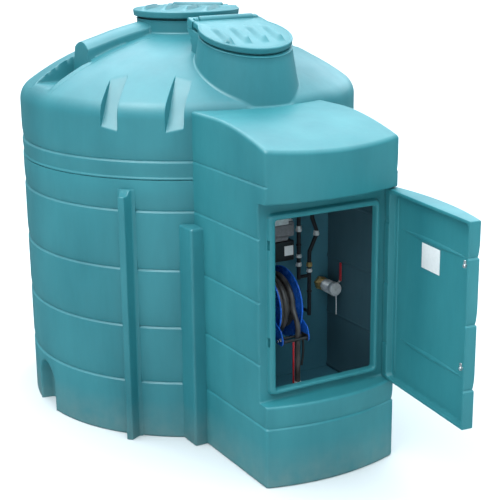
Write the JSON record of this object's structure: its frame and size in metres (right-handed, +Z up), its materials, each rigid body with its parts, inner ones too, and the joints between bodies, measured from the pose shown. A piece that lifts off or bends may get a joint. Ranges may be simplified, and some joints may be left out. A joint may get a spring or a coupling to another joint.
{
  "type": "vertical storage tank",
  "caption": "Bunded upright plastic storage tank with manholes on its roof and a dispensing cabinet with a hinged door, hose reel and outlet valve.",
  "frame": {"origin": "centre of the tank's foot, on the ground under the tank's axis", "axes": "+Z up the tank's axis; the dispensing cabinet faces -Y; +X is to the right when facing the cabinet"},
  "size_m": [2.1, 3.5562, 2.451],
  "materials": {
    "tank_plastic": "satin moulded polyethylene",
    "cabinet_plastic": "satin moulded polyethylene",
    "inside_plastic": "satin moulded polyethylene in shade",
    "chrome": "polished",
    "blue_paint": "gloss powder coat",
    "hose_rubber": "satin",
    "black_paint": "satin",
    "black_plastic": "satin",
    "grey_plastic": "satin",
    "white_card": "plain plate",
    "brass": "cast, unpolished",
    "aluminium": "cast",
    "red_sleeve": "dipped plastic sleeve"
  },
  "bodies": {
    "tank": {"tank_base": "tank_plastic", "wall_front": "tank_plastic", "wall_left": "tank_plastic", "wall_back": "tank_plastic", "wall_right": "tank_plastic", "tie_pocket_left": "tank_plastic", "tie_pocket_right": "tank_plastic", "roof_front": "tank_plastic", "roof_left": "tank_plastic", "roof_back": "tank_plastic", "roof_right": "tank_plastic", "roof_rib_left": "tank_plastic", "roof_rib_right": "tank_plastic", "main_neck": "tank_plastic", "main_lid_hinge": "tank_plastic", "turret_neck": "tank_plastic", "turret_lid_hinge": "tank_plastic", "fin_front_left": "tank_plastic", "fin_back_left": "tank_plastic", "fin_back_right": "tank_plastic", "fin_front_right": "tank_plastic", "buttress_left": "tank_plastic", "buttress_right": "tank_plastic", "cabinet_left_wall": "cabinet_plastic", "cabinet_right_wall": "cabinet_plastic", "cabinet_roof": "cabinet_plastic", "fascia": "cabinet_plastic", "plinth": "cabinet_plastic", "front_panel_left": "cabinet_plastic", "front_panel_right": "cabinet_plastic", "front_panel_above": "cabinet_plastic", "front_panel_below": "cabinet_plastic", "opening_rim": "cabinet_plastic", "upper_hinge_pin": "chrome", "lower_hinge_pin": "chrome", "bulkhead": "inside_plastic", "cabinet_floor": "inside_plastic", "reel_bracket": "blue_paint", "hose_guide": "black_paint", "hose_drop": "hose_rubber", "hose_nozzle": "aluminium", "red_pipe": "red_sleeve", "valve_body": "brass", "valve_cap": "aluminium", "pump_motor": "black_plastic", "meter_box": "grey_plastic", "cable_tray": "grey_plastic", "pipework": "black_paint"},
    "door": {"door_shell": "cabinet_plastic", "door_plate": "white_card"},
    "upper_latch": {"upper_latch": "chrome"},
    "lower_latch": {"lower_latch": "chrome"},
    "main_lid": {"main_lid": "tank_plastic"},
    "turret_lid": {"turret_lid": "tank_plastic"},
    "reel": {"reel_drum": "blue_paint", "wound_hose": "hose_rubber"},
    "valve_lever": {"valve_lever": "red_sleeve"}
  },
  "joints": [
    {"name": "door_hinge", "type": "hinge", "parent": "tank", "child": "door", "pos_m": [0.352, -1.697, 1.02], "axis": [0, 0, 1], "range_deg": [-83.4, 20]},
    {"name": "upper_latch_turn", "type": "hinge", "parent": "door", "child": "upper_latch", "pos_m": [0.25626, -2.46358, 1.335], "axis": [-0.9934, 0.1149, 0], "range_deg": [0, 90]},
    {"name": "lower_latch_turn", "type": "hinge", "parent": "door", "child": "lower_latch", "pos_m": [0.25626, -2.46358, 0.8], "axis": [-0.9934, 0.1149, 0], "range_deg": [0, 90]},
    {"name": "main_lid_hinge", "type": "hinge", "parent": "tank", "child": "main_lid", "pos_m": [0.17395, 0.17395, 2.423], "axis": [-0.7071, 0.7071, 0], "range_deg": [0, 110]},
    {"name": "turret_lid_hinge", "type": "hinge", "parent": "tank", "child": "turret_lid", "pos_m": [0, -0.50983, 2.39835], "axis": [-1, 0, 0], "range_deg": [0, 115]},
    {"name": "reel_spin", "type": "hinge", "parent": "tank", "child": "reel", "pos_m": [-0.1545, -1.29, 0.886], "axis": [1, 0, 0], "continuous": true},
    {"name": "valve_lever_turn", "type": "hinge", "parent": "tank", "child": "valve_lever", "pos_m": [0.304, -1.175, 0.873], "axis": [1, 0, 0], "range_deg": [0, 90]}
  ]
}
